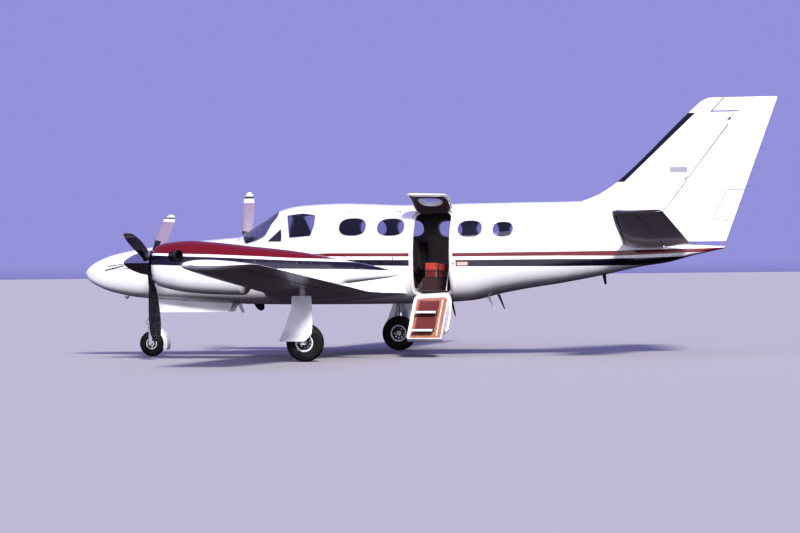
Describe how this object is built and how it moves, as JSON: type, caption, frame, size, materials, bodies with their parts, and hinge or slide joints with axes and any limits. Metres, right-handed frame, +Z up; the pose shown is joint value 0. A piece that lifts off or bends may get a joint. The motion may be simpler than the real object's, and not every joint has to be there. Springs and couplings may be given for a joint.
{
  "type": "twin turboprop aircraft",
  "caption": "Low-wing cabin aircraft with wing-mounted turboprop nacelles, retractable tricycle gear, swept fin and an open two-piece cabin door with built-in steps.",
  "frame": {"origin": "centre of the whole aircraft box, on the ground that the tyres stand on", "axes": "-X towards the nose, +Y to starboard, +Z up"},
  "size_m": [10.922, 13.45, 3.84],
  "materials": {
    "white_paint": "gloss",
    "nacelle_paint": "gloss",
    "window_glass": "gloss",
    "cabin_trim": "matte",
    "carpet": "matte",
    "seat_leather": "satin",
    "gear_steel": "satin",
    "polished_metal": "polished",
    "blade_paint": "satin",
    "engine_metal": "satin",
    "tyre_rubber": "matte"
  },
  "bodies": {
    "airframe": {"nose_section": "white_paint", "cabin_shell_forward": "white_paint", "cabin_shell_centre": "white_paint", "cabin_shell_door": "white_paint", "cabin_shell_aft": "white_paint", "tail_section": "white_paint", "windscreen_left": "window_glass", "windscreen_right": "window_glass", "cockpit_windows_left": "window_glass", "cockpit_windows_right": "window_glass", "cabin_windows_left_forward": "window_glass", "cabin_windows_left_aft": "window_glass", "cabin_windows_right": "window_glass", "cabin_floor": "carpet", "aft_bulkhead": "cabin_trim", "instrument_panel": "cabin_trim", "crew_seats": "seat_leather", "cabin_seats_left": "seat_leather", "cabin_seats_right": "seat_leather", "wing_left": "white_paint", "wing_right": "white_paint", "nacelle_left": "nacelle_paint", "nacelle_right": "nacelle_paint", "engine_left": "engine_metal", "engine_right": "engine_metal", "fin": "white_paint", "tailplane_left": "white_paint", "tailplane_right": "white_paint", "main_leg_left": "gear_steel", "main_leg_right": "gear_steel", "leg_door_left": "white_paint", "leg_door_right": "white_paint", "nose_leg": "gear_steel", "nose_gear_door_left": "white_paint", "nose_gear_door_right": "white_paint"},
    "propeller_left_body": {"propeller_left": "blade_paint", "spinner_left": "polished_metal"},
    "propeller_right_body": {"propeller_right": "blade_paint", "spinner_right": "polished_metal"},
    "nose_fork_body": {"nose_fork": "gear_steel", "nose_mudguard": "white_paint"},
    "nose_wheel_body": {"nose_wheel_rim": "white_paint", "nose_wheel_tyre": "tyre_rubber"},
    "main_wheel_left_body": {"main_wheel_left_rim": "white_paint", "main_wheel_left_tyre": "tyre_rubber"},
    "main_wheel_right_body": {"main_wheel_right_rim": "white_paint", "main_wheel_right_tyre": "tyre_rubber"},
    "upper_door_body": {"upper_door": "white_paint", "upper_door_window": "window_glass"},
    "airstair_body": {"airstair": "white_paint"},
    "rudder_body": {"rudder": "white_paint"},
    "elevator_left_body": {"elevator_left": "white_paint"},
    "elevator_right_body": {"elevator_right": "white_paint"},
    "aileron_left_body": {"aileron_left": "white_paint"},
    "aileron_right_body": {"aileron_right": "white_paint"},
    "flap_left_body": {"flap_left_inboard": "white_paint", "flap_left_outboard": "white_paint"},
    "flap_right_body": {"flap_right_inboard": "white_paint", "flap_right_outboard": "white_paint"}
  },
  "joints": [
    {"name": "propeller_left_spin", "type": "hinge", "parent": "airframe", "child": "propeller_left_body", "pos_m": [-3.59, -2.32, 1.46], "axis": [1, 0, 0], "continuous": true},
    {"name": "propeller_right_spin", "type": "hinge", "parent": "airframe", "child": "propeller_right_body", "pos_m": [-3.59, 2.32, 1.46], "axis": [1, 0, 0], "continuous": true},
    {"name": "nose_steering", "type": "hinge", "parent": "airframe", "child": "nose_fork_body", "pos_m": [-4.365, 0, 0.5], "axis": [0, 0, 1], "range_deg": [-40, 40]},
    {"name": "nose_wheel_spin", "type": "hinge", "parent": "nose_fork_body", "child": "nose_wheel_body", "pos_m": [-4.365, 0, 0.2], "axis": [0, 1, 0], "continuous": true},
    {"name": "main_wheel_left_spin", "type": "hinge", "parent": "airframe", "child": "main_wheel_left_body", "pos_m": [-1.075, -2.734, 0.28], "axis": [0, 1, 0], "continuous": true},
    {"name": "main_wheel_right_spin", "type": "hinge", "parent": "airframe", "child": "main_wheel_right_body", "pos_m": [-1.075, 2.734, 0.28], "axis": [0, 1, 0], "continuous": true},
    {"name": "upper_door_hinge", "type": "hinge", "parent": "airframe", "child": "upper_door_body", "pos_m": [0.31, -0.42808, 2.206], "axis": [1, 0, 0], "range_deg": [0, 86]},
    {"name": "airstair_hinge", "type": "hinge", "parent": "airframe", "child": "airstair_body", "pos_m": [0.31, -0.5712, 0.936], "axis": [1, 0, 0], "range_deg": [-140, 0]},
    {"name": "rudder_hinge", "type": "hinge", "parent": "airframe", "child": "rudder_body", "pos_m": [3.455, 0, 1.72], "axis": [0.6058, 0, 0.7956], "range_deg": [-25, 25]},
    {"name": "elevator_left_hinge", "type": "hinge", "parent": "airframe", "child": "elevator_left_body", "pos_m": [3.815, -1.5, 1.882], "axis": [0, 0.9842, -0.1772], "range_deg": [-25, 15]},
    {"name": "elevator_right_hinge", "type": "hinge", "parent": "airframe", "child": "elevator_right_body", "pos_m": [3.815, 1.5, 1.882], "axis": [0, 0.9842, 0.1772], "range_deg": [-25, 15]},
    {"name": "aileron_left_hinge", "type": "hinge", "parent": "airframe", "child": "aileron_left_body", "pos_m": [-0.855, -5.5, 1.33025], "axis": [0, 0.9972, -0.0753], "range_deg": [-18, 18]},
    {"name": "aileron_right_hinge", "type": "hinge", "parent": "airframe", "child": "aileron_right_body", "pos_m": [-0.855, 5.5, 1.33025], "axis": [0, 0.9972, 0.0753], "range_deg": [-18, 18]},
    {"name": "flap_left_hinge", "type": "hinge", "parent": "airframe", "child": "flap_left_body", "pos_m": [-0.875, -2.5, 1.10375], "axis": [0, 0.9972, -0.0753], "range_deg": [0, 40]},
    {"name": "flap_right_hinge", "type": "hinge", "parent": "airframe", "child": "flap_right_body", "pos_m": [-0.875, 2.5, 1.10375], "axis": [0, 0.9972, 0.0753], "range_deg": [0, 40]}
  ],
  "couplings": [
    {"joint": "elevator_right_hinge", "follows": "elevator_left_hinge", "ratio": 1},
    {"joint": "aileron_right_hinge", "follows": "aileron_left_hinge", "ratio": -1},
    {"joint": "flap_right_hinge", "follows": "flap_left_hinge", "ratio": 1}
  ]
}
